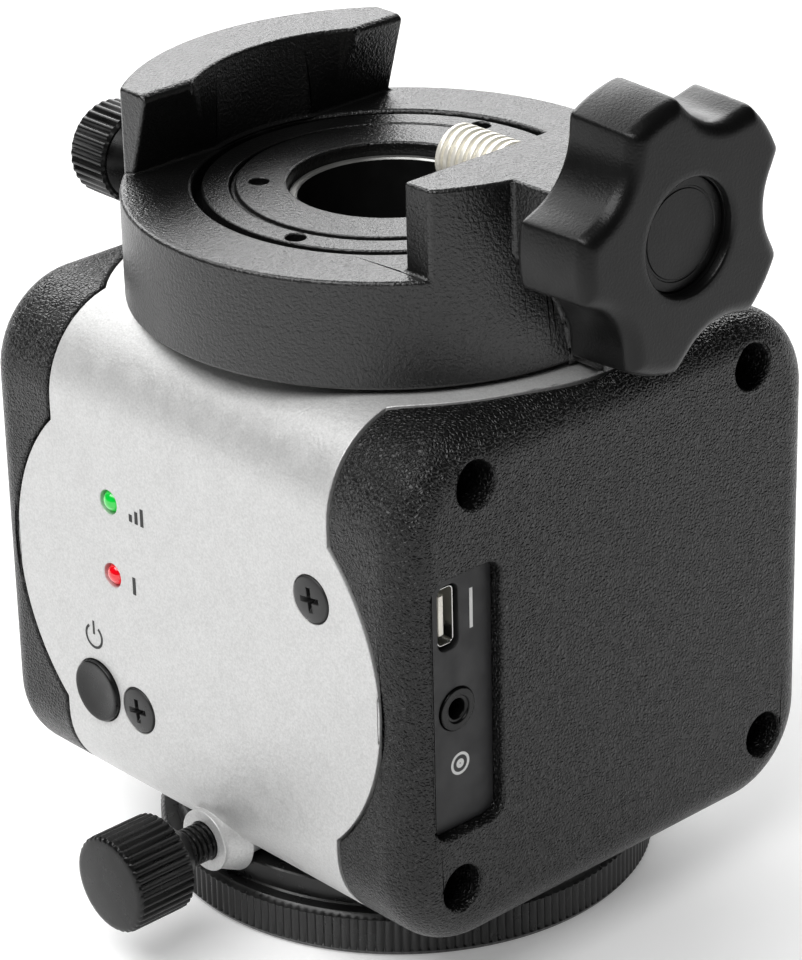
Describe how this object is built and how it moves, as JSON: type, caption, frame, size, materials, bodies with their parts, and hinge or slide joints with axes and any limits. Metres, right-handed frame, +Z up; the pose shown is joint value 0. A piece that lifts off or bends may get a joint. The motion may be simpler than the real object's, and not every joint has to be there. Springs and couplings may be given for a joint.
{
  "type": "star tracker mount",
  "caption": "Motor-driven star tracking mount with a turning dovetail saddle, screw clamp, hollow polar axis, end covers and a knurled tripod adapter.",
  "frame": {"origin": "on the polar axis, at the mouth of the tripod thread in the foot of the adapter", "axes": "+Z up along the polar axis towards the saddle, -Y out of the face with the lamps and button, +X out of the port cover"},
  "size_m": [0.1061, 0.085, 0.1146],
  "materials": {
    "silver_paint": "fine-grained silver paint",
    "cover_black": "black plastic with a leather grain",
    "saddle_black": "black anodised, finely blasted",
    "knob_black": "black plastic",
    "panel_grey": "smooth dark grey plastic",
    "steel": "ground steel",
    "pale_steel": "warm nickel-plated steel",
    "screw_black": "black oxide steel",
    "brass": "turned brass",
    "alloy": "plain aluminium",
    "nylon": "natural nylon",
    "board_green": "green circuit board",
    "lamp_green": "clear green lamp body",
    "lamp_red": "clear red lamp body",
    "cell_wrap": "plain dark battery wrapper",
    "liner_steel": "bright turned steel"
  },
  "bodies": {
    "housing": {"main_housing": "silver_paint", "port_cover": "cover_black", "battery_cover": "cover_black", "port_panel": "panel_grey", "usb_socket": "steel", "shutter_jack": "knob_black", "port_board": "board_green", "control_board": "board_green", "board_standoffs": "brass", "green_led": "lamp_green", "red_led": "lamp_red", "tact_switch": "knob_black", "cover_screws": "steel", "front_screws": "screw_black", "battery_holder": "knob_black", "battery_cells": "cell_wrap", "battery_contacts": "steel", "bearing_outer_rings": "steel", "bearing_balls": "steel", "drive_bracket": "alloy", "bracket_screws": "steel", "gear_motor": "alloy"},
    "button": {"power_button": "knob_black"},
    "polar": {"drive_hub": "saddle_black", "lock_ring": "saddle_black", "bore_liner": "liner_steel", "worm_wheel": "brass", "bearing_inner_rings": "steel"},
    "saddle_body": {"saddle": "saddle_black"},
    "worm_set": {"worm": "steel", "worm_shaft": "steel", "worm_gear": "brass"},
    "motor_rotor": {"motor_shaft": "steel", "motor_pinion": "brass"},
    "clamp_slide": {"clamp_pad": "pale_steel"},
    "clamp_turn": {"clamp_screw": "pale_steel", "clamp_knob": "knob_black", "knob_cap": "knob_black"},
    "axis_lock_slide": {"axis_lock_pad": "nylon"},
    "axis_lock_turn": {"axis_lock_screw": "knob_black"},
    "base_lock_slide": {"base_lock_pad": "nylon"},
    "base_lock_turn": {"base_lock_screw": "knob_black"},
    "adapter": {"tripod_adapter": "knob_black"}
  },
  "joints": [
    {"name": "power_press", "type": "slide", "parent": "housing", "child": "button", "axis": [0, 1, 0], "range_m": [0, 0.0005], "stiffness_N_per_m": 1500},
    {"name": "polar_turn", "type": "hinge", "parent": "housing", "child": "polar", "pos_m": [0, 0, 0.062], "axis": [0, 0, 1], "continuous": true},
    {"name": "saddle_turn", "type": "hinge", "parent": "polar", "child": "saddle_body", "pos_m": [0, 0, 0.0845], "axis": [0, 0, 1], "continuous": true},
    {"name": "worm_turn", "type": "hinge", "parent": "housing", "child": "worm_set", "pos_m": [0, 0.0252, 0.062], "axis": [0.9965, 0, -0.0833], "continuous": true},
    {"name": "motor_turn", "type": "hinge", "parent": "housing", "child": "motor_rotor", "pos_m": [-0.001, 0.0252, 0.05004], "axis": [0.9965, 0, -0.0833], "continuous": true},
    {"name": "clamp_feed", "type": "slide", "parent": "saddle_body", "child": "clamp_slide", "axis": [1, 0, 0], "range_m": [-0.0004, 0.0115]},
    {"name": "clamp_knob_turn", "type": "hinge", "parent": "clamp_slide", "child": "clamp_turn", "pos_m": [0.045, 0, 0.0976], "axis": [1, 0, 0], "range_deg": [-90, 3240]},
    {"name": "axis_lock_feed", "type": "slide", "parent": "saddle_body", "child": "axis_lock_slide", "axis": [-1, 0, 0], "range_m": [-0.00021, 0.0033]},
    {"name": "axis_lock_knob_turn", "type": "hinge", "parent": "axis_lock_slide", "child": "axis_lock_turn", "pos_m": [-0.05, 0, 0.0813], "axis": [-1, 0, 0], "range_deg": [-90, 1440]},
    {"name": "base_lock_feed", "type": "slide", "parent": "housing", "child": "base_lock_slide", "axis": [0, -1, 0], "range_m": [-0.00021, 0.0033]},
    {"name": "base_lock_knob_turn", "type": "hinge", "parent": "base_lock_slide", "child": "base_lock_turn", "pos_m": [0, -0.045, 0.0122], "axis": [0, -1, 0], "range_deg": [-90, 1440]},
    {"name": "adapter_turn", "type": "hinge", "parent": "housing", "child": "adapter", "pos_m": [0, 0, 0.01], "axis": [0, 0, 1], "continuous": true}
  ],
  "couplings": [
    {"joint": "worm_turn", "follows": "polar_turn", "ratio": 60},
    {"joint": "motor_turn", "follows": "polar_turn", "ratio": -60},
    {"joint": "clamp_feed", "follows": "clamp_knob_turn", "m_per_rad": 0.00019894},
    {"joint": "axis_lock_feed", "follows": "axis_lock_knob_turn", "m_per_rad": 0.00012732},
    {"joint": "base_lock_feed", "follows": "base_lock_knob_turn", "m_per_rad": 0.00012732}
  ]
}
